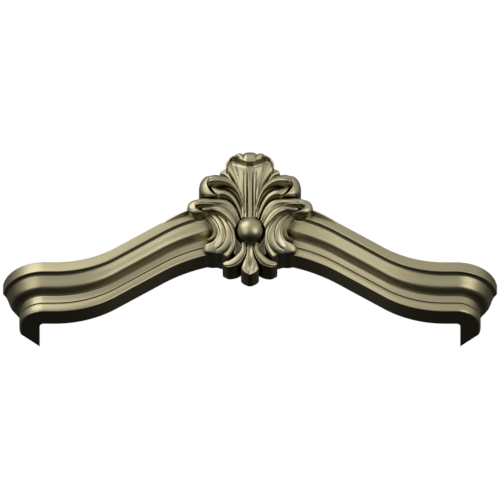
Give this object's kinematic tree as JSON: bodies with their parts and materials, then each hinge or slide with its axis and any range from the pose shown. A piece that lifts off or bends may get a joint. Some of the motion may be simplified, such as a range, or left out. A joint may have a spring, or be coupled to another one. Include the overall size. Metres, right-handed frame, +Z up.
{
  "type": "arched cornice with carved cartouche",
  "caption": "Arched cornice moulding with rounded corners and short mitred returns, crowned by a carved acanthus cartouche around a half ball.",
  "frame": {"origin": "on the moulding's flat back at the centre line, halfway up the moulding's crown", "axes": "+X along the cornice to the right seen from the front, +Y backwards out of the flat back, +Z up"},
  "size_m": [0.963, 0.1833, 0.3458],
  "materials": {
    "moulding_finish": "wood under a satin antique-bronze metallic finish",
    "carving_finish": "carved wood under a satin antique-bronze metallic finish"
  },
  "bodies": {
    "root": {"cornice_moulding": "moulding_finish", "cartouche": "carving_finish"}
  },
  "joints": []
}
